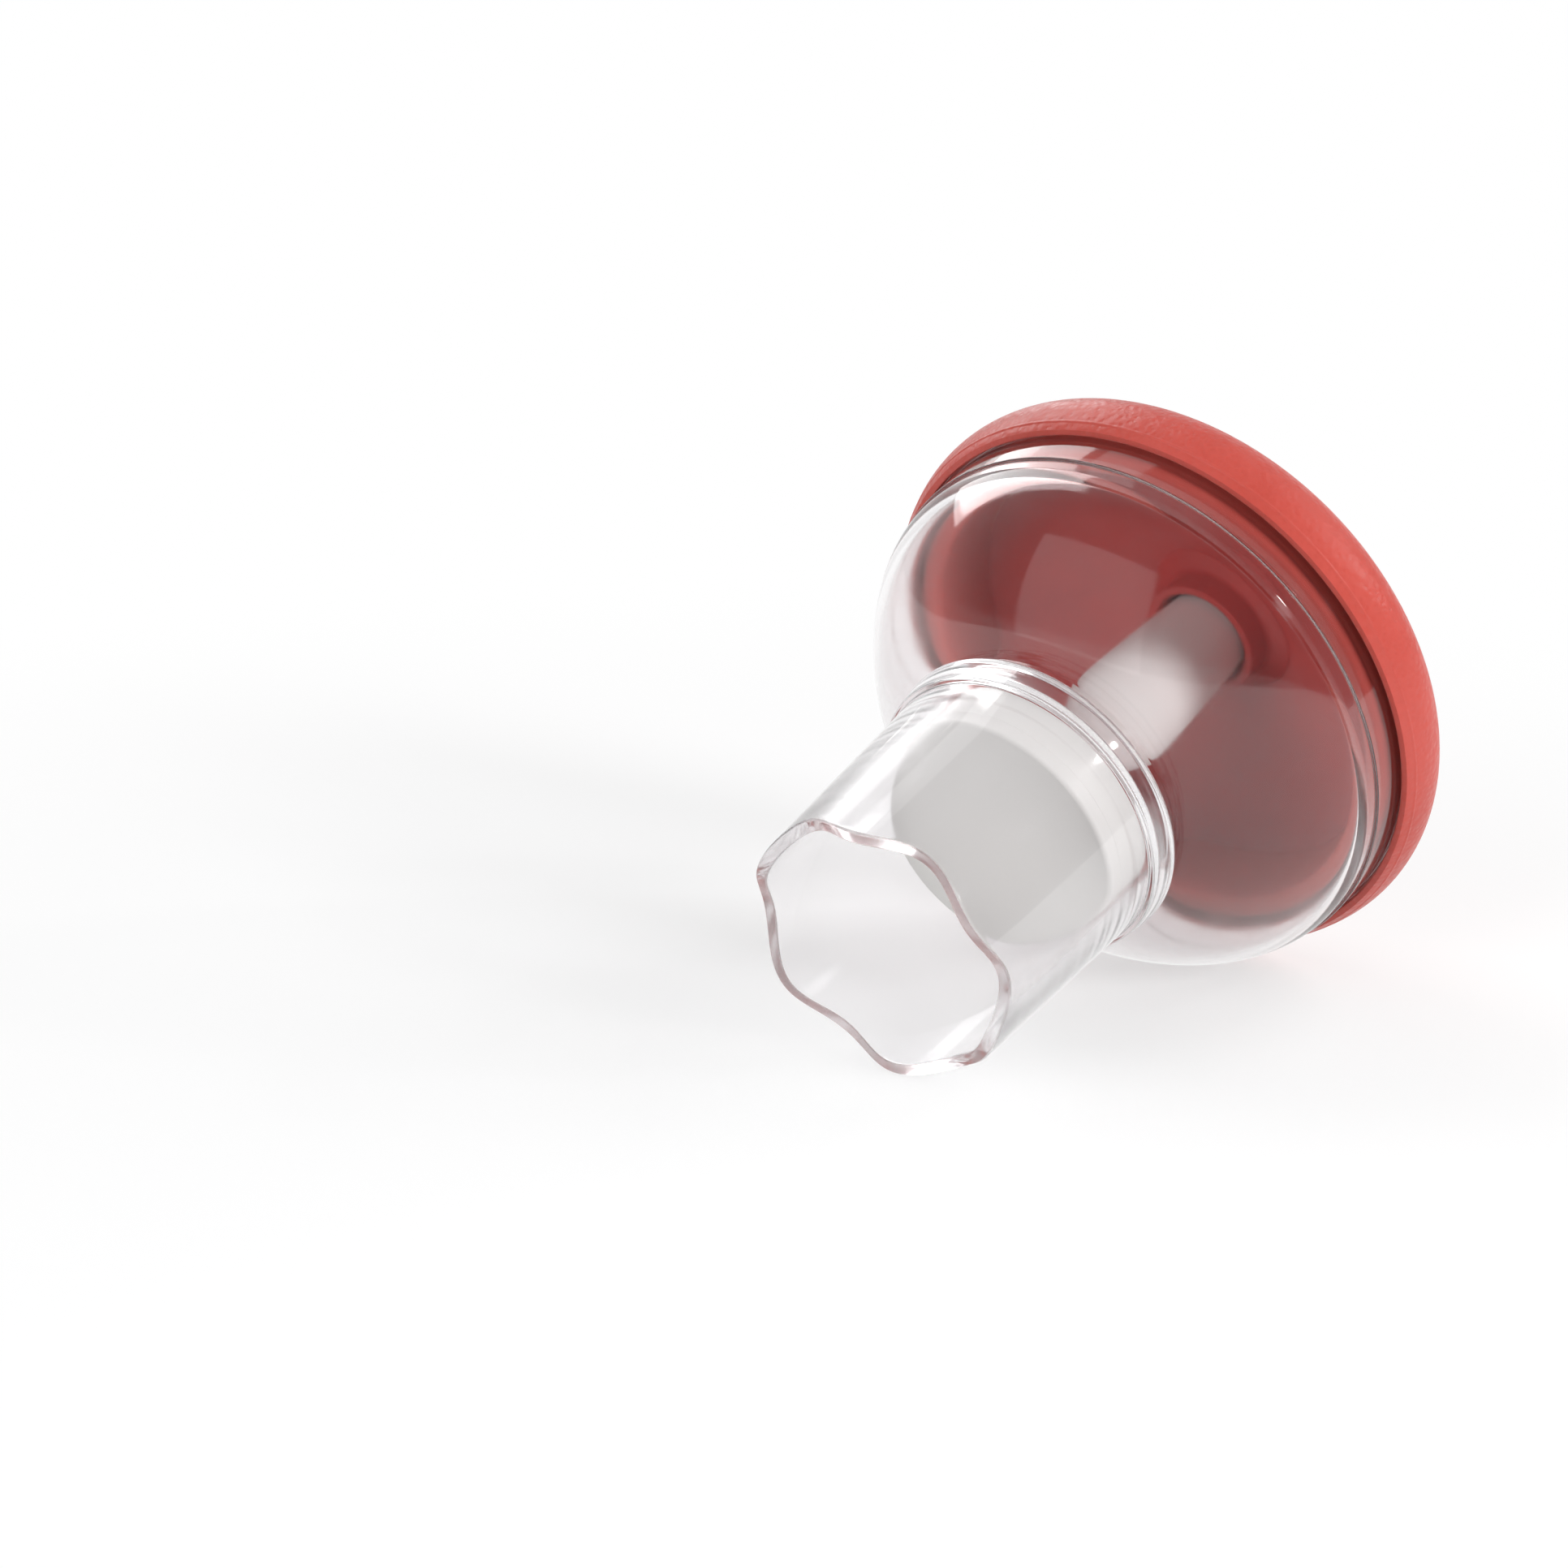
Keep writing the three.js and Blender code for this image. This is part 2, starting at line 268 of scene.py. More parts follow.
class CorerColours(bpy.types.PropertyGroup):
    """Colours of the three materials."""

    silicone: colour("Silicone", "Red of the cap", 0.53, 0.084, 0.066)
    silicone_deep: colour("Silicone, deep", "Red in the darker mottles of the cap", 0.48, 0.07, 0.053)
    # The skirt's reds are paler than the cap's: painted light, standing for the light that falls on the skirt's edge
    # inside the bowl.
    skirt: colour("Skirt", "Red of the cap's thin skirt inside the bowl", 0.62, 0.1, 0.08)
    skirt_deep: colour("Skirt, deep", "Red in the darker mottles of the skirt", 0.57, 0.085, 0.068)
    lining: colour("Lining", "Red of the cap's inside", 0.52, 0.05, 0.042)
    lining_deep: colour("Lining, deep", "Red in the darker mottles of the cap's inside", 0.46, 0.042, 0.036)
    plastic: colour("White plastic", "White of the plunger", 0.82, 0.81, 0.79)
    plastic_shade: colour("White plastic, shade", "Slightly warmer white", 0.78, 0.765, 0.74)
    clear: colour("Clear plastic", "Tint of the tube and bowl", 0.975, 0.965, 0.972)


class StageSettings(bpy.types.PropertyGroup):
    """Table, camera and light."""

    table_up: bpy.props.FloatVectorProperty(
        name="Table up",
        description="Direction away from the table on which the corer lies",
        default=(-0.93918, 0.06868, 0.33650),
        subtype="DIRECTION",
    )
    eye: bpy.props.FloatVectorProperty(
        name="Eye",
        description="Place of the camera",
        default=(-0.29587, -0.26590, -0.30898),
        subtype="TRANSLATION",
        unit="LENGTH",
        precision=5,
    )
    gaze: bpy.props.FloatVectorProperty(
        name="Gaze",
        description="Point on the camera's axis",
        default=(0.00407, 0.03211, 0.02691),
        subtype="TRANSLATION",
        unit="LENGTH",
        precision=5,
    )
    focal_pixels: bpy.props.FloatProperty(
        name="Focal length", description="In pixels of the square picture", default=5830.0
    )
    table_shade: bpy.props.FloatProperty(
        name="Table shade", description="How strongly the table takes shadows", default=0.42, subtype="FACTOR"
    )
    ambient: bpy.props.FloatProperty(
        name="Ambient", description="Light from the backdrop", default=0.25, subtype="FACTOR"
    )
    backdrop_mirrored: colour("Backdrop, mirrored", "The backdrop behind, as it is mirrored", 1.0, 1.0, 1.0)
    room_mirrored: colour("Room, mirrored", "The dim room in front, as it lights and is mirrored", 0.07, 0.065, 0.07)
    room_through: colour("Room, through", "The room in front as bent by clear plastic", 0.46, 0.4, 0.4)


class Wire:
    """An output socket that takes part in Python arithmetic: each operator adds one Math node."""

    def __init__(self, graph, socket):
        self.graph = graph
        self.socket = socket

    def out(self, name):
        """Another output of the same node."""
        return Wire(self.graph, self.socket.node.outputs[name])

    def _math(self, operation, first, second):
        return self.graph.add("ShaderNodeMath", {"operation": operation}, {0: first, 1: second})

    def __add__(self, other):
        return self._math("ADD", self, other)

    __radd__ = __add__

    def __rsub__(self, other):
        return self._math("SUBTRACT", other, self)

    def __mul__(self, other):
        return self._math("MULTIPLY", self, other)

    __rmul__ = __mul__

    def larger(self, other):
        return self._math("MAXIMUM", self, other)

    def smaller(self, other):
        return self._math("MINIMUM", self, other)


class Graph:
    """A node tree that is filled by one method for every kind of node."""

    def __init__(self, owner):
        owner.use_nodes = True
        self.tree = owner.node_tree
        self.tree.nodes.clear()

    def add(self, kind, settings=None, sockets=None, out=0):
        """Adds a node: first its settings, then the values or links of its sockets. Returns one output."""
        node = self.tree.nodes.new(kind)
        for name, value in (settings or {}).items():
            setattr(node, name, value)
        for key, value in (sockets or {}).items():
            if isinstance(value, Wire):
                self.tree.links.new(value.socket, node.inputs[key])
            else:
                node.inputs[key].default_value = value
        return Wire(self, node.outputs[out]) if node.outputs else None

    def blend_colours(self, factor, first, second):
        """first where factor is 0 and second where it is 1."""
        ends = [end if isinstance(end, Wire) else tuple(end) + (1.0,) for end in (first, second)]
        return self.add("ShaderNodeMix", {"data_type": "RGBA"}, {0: factor, 6: ends[0], 7: ends[1]}, out=2)

    def span(self, value, low, high, to_low, to_high):
        """Maps low..high to to_low..to_high with smooth ends, clamped."""
        sockets = {0: value, 1: low, 2: high, 3: to_low, 4: to_high}
        return self.add("ShaderNodeMapRange", {"interpolation_type": "SMOOTHSTEP"}, sockets)

    def noise(self, place, scale, detail=2.0):
        """Soft noise of about 1 / scale metres, from 0 to 1."""
        return self.add("ShaderNodeTexNoise", None, {"Vector": place, "Scale": scale, "Detail": detail})

    def place(self):
        """Object coordinates in metres."""
        return self.add("ShaderNodeTexCoord", out="Object")

    def principled(self, sockets):
        """A Principled shader with these values or links of its sockets."""
        return self.add("ShaderNodeBsdfPrincipled", None, sockets)

    def surface(self, shader):
        """Sends a shader to the material's output."""
        self.add("ShaderNodeOutputMaterial", None, {"Surface": shader})


def new_material(name):
    """A material of that name and the graph that fills it."""
    material = bpy.data.materials.new(name)
    return material, Graph(material)


def red_silicone(name, red, deep_red, fineness, depth, glow):
    """Soft satin silicone: a leather-like grain of pits and creases over faint large mottles. The grain repeats about
    fineness times in a metre and stands out by depth metres. glow is the share of light that spreads under the
    skin."""
    material, graph = new_material(name)
    place = graph.place()
    pits = graph.add("ShaderNodeTexVoronoi", {"feature": "SMOOTH_F1"}, {"Vector": place, "Scale": fineness})
    creases = graph.noise(place, 0.75 * fineness, 3.0)
    mottle = graph.noise(place, 60.0, 3.0)
    grain = 0.6 * pits + 0.4 * creases
    tone = graph.span(0.2 * grain + 0.8 * mottle, 0.3, 0.65, 0.0, 1.0)
    bump = graph.add("ShaderNodeBump", None, {"Strength": 0.8, "Distance": depth, "Height": grain})
    shader = graph.principled(
        {
            "Base Color": graph.blend_colours(tone, deep_red, red),
            "Roughness": graph.span(grain, 0.2, 0.8, 0.32, 0.48),
            "Normal": bump,
            "Specular IOR Level": 0.36,
            "Subsurface Weight": glow,
            "Subsurface Radius": (3.0, 0.6, 0.4),
            "Subsurface Scale": 0.0008,
        },
    )
    graph.surface(shader)
    return material


def grained_silicone(colours):
    """Outside of the cap."""
    return red_silicone("red_silicone_grained", colours.silicone, colours.silicone_deep, 1500.0, 0.00018, 0.12)


def painted_lit_silicone(colours):
    """Thin skirt of the cap in a paler red than the cap: painted light for the light that falls on its edge. A little
    light also spreads under its thin skin.
    """
    return red_silicone("red_silicone_painted_lit", colours.skirt, colours.skirt_deep, 300.0, 0.00002, 0.2)


def smooth_silicone(colours):
    """Inside of the cap and its socket."""
    return red_silicone("red_silicone_smooth", colours.lining, colours.lining_deep, 300.0, 0.00002, 0.0)


def white_plastic(colours):
    """Moulded white plastic: a satin skin with a faint flow tone and a very fine texture."""
    material, graph = new_material("white_plastic_satin")
    place = graph.place()
    flow = graph.noise(place, 45.0, 3.0)
    texture = graph.noise(place, 2600.0, 2.0)
    bump = graph.add("ShaderNodeBump", None, {"Strength": 0.12, "Distance": 0.00003, "Height": texture})
    shader = graph.principled(
        {
            "Base Color": graph.blend_colours(flow, colours.plastic_shade, colours.plastic),
            "Roughness": graph.span(texture, 0.3, 0.7, 0.34, 0.44),
            "Normal": bump,
        },
    )
    graph.surface(shader)
    return material


def clear_plastic(colours):
    """Polished clear plastic: faint haze and the slow ripple of a moulded wall. Lamps shine through a wall that faces
    them, and a wall that they graze takes most of their light."""
    material, graph = new_material("clear_plastic_polished")
    place = graph.place()
    haze = graph.noise(place, 220.0, 4.0)
    ripple = graph.noise(place, 55.0, 0.0)
    bump = graph.add("ShaderNodeBump", None, {"Strength": 0.03, "Distance": 0.0002, "Height": ripple})
    solid = graph.principled(
        {
            "Base Color": tuple(colours.clear) + (1.0,),
            "Roughness": graph.span(haze, 0.35, 0.7, 0.05, 0.1),
            "Normal": bump,
            "IOR": 1.56,
            "Transmission Weight": 1.0,
        },
    )
    faced = graph.add("ShaderNodeBsdfTransparent", None, {"Color": (0.94, 0.94, 0.945, 1.0)})
    grazed = graph.add("ShaderNodeBsdfTransparent", None, {"Color": (0.3, 0.28, 0.28, 1.0)})
    slant = graph.add("ShaderNodeLayerWeight", out="Facing")
    passing = graph.add("ShaderNodeMixShader", None, {0: graph.span(slant, 0.45, 1.0, 0.0, 1.0), 1: faced, 2: grazed})
    lamp_ray = graph.add("ShaderNodeLightPath", out="Is Shadow Ray")
    graph.surface(graph.add("ShaderNodeMixShader", None, {0: lamp_ray, 1: solid, 2: passing}))
    return material


def eased(share):
    """Smooth step of a share that is clamped to 0..1: 3 s^2 - 2 s^3."""
    share = np.clip(share, 0, 1)
    return share * share * (3 - 2 * share)


def rounded(corners, steps=ARC_STEPS):
    """An outline through corners given as (radius, height, round): each corner with a round becomes an arc that is
    tangent to both its sides. The first and last corners are neighbours too. Returns points as rows."""
    corners = np.array(corners, float)
    spots, rounds = corners[:, :2], corners[:, 2]
    before = np.roll(spots, 1, axis=0) - spots
    after = np.roll(spots, -1, axis=0) - spots
    before /= np.linalg.norm(before, axis=1, keepdims=True)
    after /= np.linalg.norm(after, axis=1, keepdims=True)
    half = np.arccos(np.clip((before * after).sum(1), -1, 1)) / 2
    middle = before + after
    middle /= np.maximum(np.linalg.norm(middle, axis=1, keepdims=True), TINY)
    pieces = []
    for spot, size, way_in, way_out, angle, aim in zip(spots, rounds, before, after, half, middle):
        if size <= 0 or angle > STRAIGHT:
            pieces.append(spot[None])
            continue
        centre = spot + aim * size / math.sin(angle)
        reach = size / math.tan(angle)
        start, stop = spot + way_in * reach - centre, spot + way_out * reach - centre
        first = math.atan2(start[1], start[0])
        turn = (math.atan2(stop[1], stop[0]) - first + math.pi) % (2 * math.pi) - math.pi
        angles = first + turn * np.linspace(0, 1, steps + 1)
        pieces.append(centre + size * np.stack([np.cos(angles), np.sin(angles)], 1))
    return np.concatenate(pieces)


def bell(bottom_radius, side_radius, base, top, fullness, count):
    """Quarter of a superellipse from a neck up to an upright side: |x|^n + |y|^n = 1, where n is the fullness."""
    angle = np.linspace(0, math.pi / 2, count)
    out, down = np.sin(angle) ** (2 / fullness), np.cos(angle) ** (2 / fullness)
    return np.stack([bottom_radius + (side_radius - bottom_radius) * out, top - (top - base) * down], 1)


def trumpet(head_radius, stem_radius, base, top, count):
    """Quarter of an ellipse that leaves the head's side upright and joins the stem at the top."""
    angle = np.linspace(0, math.pi / 2, count)
    return np.stack(
        [head_radius - (head_radius - stem_radius) * np.sin(angle), top - (top - base) * np.cos(angle)], 1
    )


def turned(name, outline, sides, closed=True, wave=None):
    """A surface of revolution about Z: a point of the outline at radius r and height z goes to
    (r cos t, r sin t, z), with t in equal steps round a full turn. wave(t, z) is added to the height. An outline
    that runs up the outside and down the inside faces outwards. Ends on the axis close in one point."""
    turn = np.arange(sides) * 2 * math.pi / sides
    radius, height = outline[:, :1], outline[:, 1:]
    rise = 0 if wave is None else wave(turn[None, :], height)
    grid = np.stack(np.broadcast_arrays(radius * np.cos(turn), radius * np.sin(turn), height + rise), 2)
    rings = len(outline)
    index = np.arange(rings * sides).reshape(rings, sides)
    poles = outline[:, 0] < TINY
    index[poles] = index[poles][:, :1]
    lower = index if closed else index[:-1]
    upper = np.roll(index, -1, axis=0) if closed else index[1:]
    quads = np.stack([lower, np.roll(lower, -1, axis=1), np.roll(upper, -1, axis=1), upper], 2).reshape(-1, 4)
    used, compact = np.unique(quads, return_inverse=True)
    quads = compact.reshape(-1, 4)
    points = grid.reshape(-1, 3)[used]
    from_pole = quads[:, 0] == quads[:, 1]
    to_pole = quads[:, 2] == quads[:, 3]
    faces = quads[~from_pole & ~to_pole].tolist()
    faces += quads[from_pole & ~to_pole][:, 1:].tolist()
    faces += quads[to_pole & ~from_pole][:, :3].tolist()
    mesh = bpy.data.meshes.new(name)
    mesh.from_pydata(points.tolist(), [], faces)
    mesh.polygons.foreach_set("use_smooth", np.ones(len(mesh.polygons), bool))
    mesh.set_sharp_from_angle(angle=math.radians(SHARP_DEGREES))
    mesh.update()
    piece = bpy.data.objects.new(name, mesh)
    bpy.context.scene.collection.objects.link(piece)
    return piece


FINISHES = {
    "red_silicone_grained": grained_silicone,
    "red_silicone_painted_lit": painted_lit_silicone,
    "red_silicone_smooth": smooth_silicone,
    "white_plastic_satin": white_plastic,
    "clear_plastic_polished": clear_plastic,
}


def dress(piece, slot, *finishes):
    """Gives a piece its finishes, each made on its first use. Its slot argument is not used."""
    for name in finishes:
        piece.data.materials.append(bpy.data.materials.get(name) or FINISHES[name](bpy.context.scene.corer_colours))


class CORER_OT_tube(bpy.types.Operator):
    """Clear cutter tube: a tapered wall, a rounded wavy edge and a stop collar."""

    bl_idname = "corer.tube"
    bl_label = "Cutter tube"

    def execute(self, context):
        s = context.scene.corer_clear
        spigot = s.top_bore + s.spigot_wall
        socket = spigot + s.seat_gap
        socket_floor = s.collar_top - s.socket_depth
        edge = rounded(
            [
                (s.mouth_bore, 0, 0.2 * MM),
                (s.mouth_bore + s.edge_land, 0, 0.15 * MM),
                (s.mouth_radius, s.edge_bevel_height, 0.3 * MM),
                (s.tube_top_radius, s.tube_length, 0.25 * MM),
                (s.tube_top_radius + s.collar_ledge, s.tube_length, 0.25 * MM),
                (s.collar_radius, s.collar_top, 0.6 * MM),
                (socket, s.collar_top, 0.15 * MM),
                (socket, socket_floor, 0.15 * MM),
                (s.top_bore, socket_floor, 0.12 * MM),
            ]
        )
        outline = self.filled(edge, s.edge_zone)

        def wave(turn, height):
            """Half the tooth height times 1 - cos(teeth * t), fading to nothing up the edge zone."""
            fade = np.clip(1 - height / s.edge_zone, 0, 1)
            return fade * (s.tooth_height / 2) * (1 - np.cos(s.teeth * turn))

        tube = turned("tube_clear", outline, TUBE_SIDES, wave=wave)
        dress(tube, "clear_plastic", "clear_plastic_polished")
        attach(tube, "body")
        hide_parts("cutter_tube")
        return {"FINISHED"}

    @staticmethod
    def filled(outline, zone, count=14, above=4):
        """Adds points on the long straight walls, close together in the zone where the waves run out."""
        following = np.roll(outline, -1, axis=0)
        rows = []
        for here, there in zip(outline, following):
            rows.append(here[None])
            if abs(there[1] - here[1]) > zone:
                low, high = sorted((here[1], there[1]))
                heights = np.concatenate([np.linspace(low, zone, count)[1:], np.linspace(zone, high, above)[1:-1]])
                heights = heights if there[1] > here[1] else heights[::-1]
                share = (heights - here[1]) / (there[1] - here[1])
                rows.append(here + share[:, None] * (there - here))
        return np.concatenate(rows)


class CORER_OT_bowl(bpy.types.Operator):
    """Clear bowl: a spigot in the collar, a bell, a rim band and a bead for the cap."""

    bl_idname = "corer.bowl"
    bl_label = "Bowl"

    def execute(self, context):
        s = context.scene.corer_clear
        spigot = s.top_bore + s.spigot_wall
        spigot_end = s.collar_top - s.socket_depth + s.seat_gap
        neck_base = s.collar_top + s.neck_gap
        neck_top = s.collar_top + s.neck_height
        shoulder = neck_top + s.bell_height
        band_base = shoulder + s.side_height
        band = s.bowl_radius + s.band_step
        bead = band + s.bead_step
        bead_base = s.rim_top - s.bead_height
        inside = s.bowl_radius - s.bowl_wall
        outer = bell(s.neck_radius, s.bowl_radius, neck_top, shoulder, s.bell_fullness, BELL_POINTS)
        inner = bell(s.top_bore, inside, neck_top + s.bowl_wall, shoulder, s.bell_fullness, BELL_POINTS)[::-1]
        below = rounded(
            [
                (s.top_bore, spigot_end, 0.1 * MM),
                (spigot, spigot_end, 0.15 * MM),
                (spigot, neck_base, 0.1 * MM),
                (s.neck_radius, neck_base, 0.12 * MM),
                (s.neck_radius, neck_top, 0),
                (s.top_bore, neck_top, 0),
            ]
        )[:-2]
        above = rounded(
            [
                (s.bowl_radius, shoulder, 0),
                (s.bowl_radius, band_base, 0.12 * MM),
                (band, band_base, 0.22 * MM),
                (band, bead_base, 0.2 * MM),
                (bead, bead_base + s.bead_step, 0.25 * MM),
                (bead, s.rim_top - s.bead_step, 0.25 * MM),
                (band, s.rim_top, 0.25 * MM),
                (inside, s.rim_top, 0.4 * MM),
                (inside, shoulder, 0),
            ]
        )[1:-1]
        bowl = turned("bowl_clear", np.concatenate([below, outer, above, inner]), BOWL_SIDES)
        dress(bowl, "clear_plastic", "clear_plastic_polished")
        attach(bowl, "body")
        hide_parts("bowl")
        return {"FINISHED"}


def cap_skin(s, rim_top):
    """Outer line of the cap from the lip up to the crown: a round edge of radius e about (cap radius - e), then the
    arc through the crown that is tangent to it. A low bead runs round the edge just above the lip."""
    centre_radius, centre_height = s.radius - s.edge_round, rim_top + s.edge_rise
    rise = s.crown_top - centre_height
    dome = (centre_radius**2 + rise**2 - s.edge_round**2) / (2 * (rise - s.edge_round))
    dome_centre = s.crown_top - dome
    meet = math.atan2(centre_height - dome_centre, centre_radius)
    lip = rim_top - s.lip_drop
    start = math.asin((lip - centre_height) / s.edge_round)
    near_lip = np.linspace(start, start + LIP_STRETCH, LIP_POINTS)
    angle = np.concatenate([near_lip, np.linspace(start + LIP_STRETCH, meet, EDGE_POINTS)[1:]])
    edge = np.stack([centre_radius + s.edge_round * np.cos(angle), centre_height + s.edge_round * np.sin(angle)], 1)
    raised = s.line_depth * (1 - eased(np.abs(edge[:, 1] - lip - s.line_rise) / s.line_reach))
    edge += raised[:, None] * np.stack([np.cos(angle), np.sin(angle)], 1)
    slope = np.linspace(meet, math.pi / 2, CROWN_POINTS)[1:]
    crown = np.stack([dome * np.cos(slope), dome_centre + dome * np.sin(slope)], 1)
    crown[-1, 0] = 0
    return edge, crown, dome, dome_centre


class CORER_OT_cap(bpy.types.Operator):
    """Soft cap: one skin over the rolled edge and the dome, the seat that grips the bowl, and the stem socket."""

    bl_idname = "corer.cap"
    bl_label = "Soft cap"

    def execute(self, context):
        s, c = context.scene.corer_cap, context.scene.corer_clear
        band = c.bowl_radius + c.band_step + c.seat_gap
        bead = c.bowl_radius + c.band_step + c.bead_step + c.seat_gap
        lip = c.rim_top - s.lip_drop
        edge, crown, dome, dome_centre = cap_skin(s, c.rim_top)

        def dome_height(radius):
            return dome_centre + math.sqrt(dome**2 - radius**2)

        outwards = np.linspace(band + s.lip_gap, edge[0, 0], UNDERSIDE_POINTS, endpoint=False)
        underside = np.stack([outwards, np.full(UNDERSIDE_POINTS, edge[0, 1])], 1)
        skin = turned("cap_skin", np.concatenate([underside, edge, crown]), CAP_SIDES, closed=False)
        heights = np.empty(len(skin.data.vertices) * 3)
        skin.data.vertices.foreach_get("co", heights)
        thin = s.lip_wall / s.wall
        thickness = thin + (1 - thin) * eased((heights[2::3] - c.rim_top + s.thin_drop) / s.thin_run)
        group = skin.vertex_groups.new(name="wall")
        for level in np.unique(np.round(thickness, 3)):
            group.add(np.flatnonzero(np.round(thickness, 3) == level).tolist(), float(level), "REPLACE")
        wall = skin.modifiers.new("wall", "SOLIDIFY")
        wall.thickness = s.wall
        wall.offset = -1
        wall.vertex_group = "wall"
        wall.material_offset = 1
        dress(skin, "red_silicone", "red_silicone_grained", "red_silicone_smooth")
        dome_height(s.skirt_inner - 0.2 * MM)
        dome_height(s.flex_inner)
        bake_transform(skin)
        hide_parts("cap_rim", "cap_web", "cap_button")

        skirt_outer = c.bowl_radius - c.bowl_wall - c.seat_gap
        groove_top = c.rim_top + c.seat_gap
        groove_base = c.rim_top - c.bead_height - c.seat_gap
        rim = edge[::4] - np.array([s.seat_inset, 0.0])
        rim = rim[rim[:, 1] > lip + s.seat_rise]
        shoulder = np.array([(s.skirt_inner, dome_height(s.skirt_inner) - s.wall / 2)])
        seat_line = rounded(
            [
                (s.skirt_inner, dome_height(s.skirt_inner) - s.wall / 2, 0),
                (s.skirt_inner, c.rim_top - s.skirt_drop, 0.8 * MM),
                (skirt_outer, c.rim_top - s.skirt_drop, 0.8 * MM),
                (skirt_outer, groove_top, 0.4 * MM),
                (bead, groove_top, 0.3 * MM),
                (bead, groove_base + c.bead_step, 0.2 * MM),
                (band, groove_base, 0.2 * MM),
                (band, rim[0, 1], 0),
                (rim[0, 0], dome_height(s.skirt_inner) - s.wall / 2, 0),
            ]
        )[1:-1]
        seat = turned("cap_seat", np.concatenate([seat_line, rim, shoulder]), CAP_SIDES)
        # The seat wears the paler red, which is painted light on the skirt's edge.
        dress(seat, "red_silicone", "red_silicone_painted_lit")
        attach(seat, "body")

        root = dome_height(s.socket_root) - s.wall
        socket_line = rounded(
            [
                (0, s.socket_roof, 0),
                (s.socket_bore, s.socket_roof, 0.3 * MM),
                (s.socket_bore, s.socket_base + s.lead_in, 0.4 * MM),
                (s.socket_bore + s.lead_in_flare, s.socket_base, 0.1 * MM),
                (s.socket_radius, s.socket_base, 0.15 * MM),
                (s.socket_radius, root - s.root_flare, 1.0 * MM),
                (s.socket_root, root - s.root_edge, 0.5 * MM),
                (s.socket_root, root + s.wall / 3, 0),
                (0, s.crown_top - s.wall / 2, 0),
            ]
        )
        socket = turned("stem_socket", socket_line, SOCKET_SIDES, closed=False)
        dress(socket, "red_silicone", "red_silicone_smooth")
        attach(socket, "ejector")
        return {"FINISHED"}


class CORER_OT_plunger(bpy.types.Operator):
    """White plunger: a hollow stem that flares into the head, and the flat face plugged into it."""

    bl_idname = "corer.plunger"
    bl_label = "Plunger"

    def execute(self, context):
        s = context.scene.corer_plunger
        head_base = s.face_height + s.face_thickness
        flare_base = s.face_height + s.head_height
        flare_top = flare_base + s.flare_height
        bore, hollow = s.stem_radius - s.wall, s.head_radius - s.wall
        foot = rounded(
            [
                (hollow, head_base, 0.1 * MM),
                (s.head_radius, head_base, 0.03 * MM),
                (s.head_radius, flare_base, 0),
                (hollow, flare_base, 0),
            ]
        )[:-2]
        tip = rounded(
            [
                (s.stem_radius, flare_top, 0),
                (s.tip_radius, s.stem_top, 0.4 * MM),
                (s.tip_radius - s.wall, s.stem_top, 0.3 * MM),
                (bore, flare_top, 0),
            ]
        )[1:-1]
        outside = trumpet(s.head_radius, s.stem_radius, flare_base, flare_top, FLARE_POINTS)
        inside = trumpet(hollow, bore, flare_base - s.wall, flare_top, FLARE_POINTS)[::-1]
        stem = turned("plunger_stem", np.concatenate([foot, outside, tip, inside]), PLUNGER_SIDES)
        dress(stem, "white_plastic", "white_plastic_satin")
        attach(stem, "ejector")
        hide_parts("plunger")

        plug = hollow - s.seat_gap
        face_line = rounded(
            [
                (0, s.face_height, 0),
                (s.head_radius, s.face_height, 0.5 * MM),
                (s.head_radius, head_base, 0.03 * MM),
                (plug, head_base, 0.1 * MM),
                (plug, head_base + s.spigot_height, 0.3 * MM),
                (0, head_base + s.spigot_height, 0),
            ]
        )
        face = turned("plunger_disc", face_line, PLUNGER_SIDES, closed=False)
        dress(face, "white_plastic", "white_plastic_satin")
        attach(face, "ejector")
        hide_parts("plunger_face")
        return {"FINISHED"}


def table_material(shade):
    """White to the camera, darkened by the corer's shadow near it. It is plain white farther off, in reflections and
    where the view grazes it. Seen from below it isn't there."""
    material, graph = new_material("table_white")
    path = graph.add("ShaderNodeLightPath", out="Is Camera Ray")
    sharp = path.larger(path.out("Is Glossy Ray")).larger(path.out("Is Transmission Ray"))
    first = 1.0 - path.out("Diffuse Depth").smaller(1.0)
    seen = sharp * first
    mirrored = path.out("Is Glossy Ray") * path.out("Is Reflection Ray") * first
    away = graph.add("ShaderNodeVectorMath", {"operation": "LENGTH"}, {0: graph.place()}, out="Value")
    far = graph.span(away, *SHADOW_FADE, 0.0, 1.0)
    grazed = graph.span(graph.add("ShaderNodeLayerWeight", out="Facing"), *GRAZE_FADE, 0.0, 1.0)
    lit = graph.add("ShaderNodeBsdfDiffuse", None, {"Color": (shade, shade, shade, 1.0)})
    shaded = (1.0 - shade) * (TABLE_LIGHT + (SHADED_SEEN - TABLE_LIGHT) * seen)
    glow = graph.add("ShaderNodeEmission", None, {"Color": shaded})
    near = graph.add("ShaderNodeAddShader", None, {0: lit, 1: glow})
    plain = graph.add("ShaderNodeEmission", None, {"Color": TABLE_LIGHT + (PLAIN_SEEN - TABLE_LIGHT) * seen})
    top = graph.add("ShaderNodeMixShader", None, {0: far.larger(mirrored).larger(grazed), 1: near, 2: plain})
    behind = graph.add("ShaderNodeNewGeometry", out="Backfacing")
    clear = graph.add("ShaderNodeBsdfTransparent")
    graph.surface(graph.add("ShaderNodeMixShader", None, {0: behind, 1: top, 2: clear}))
    material.cycles.emission_sampling = "NONE"
    return material


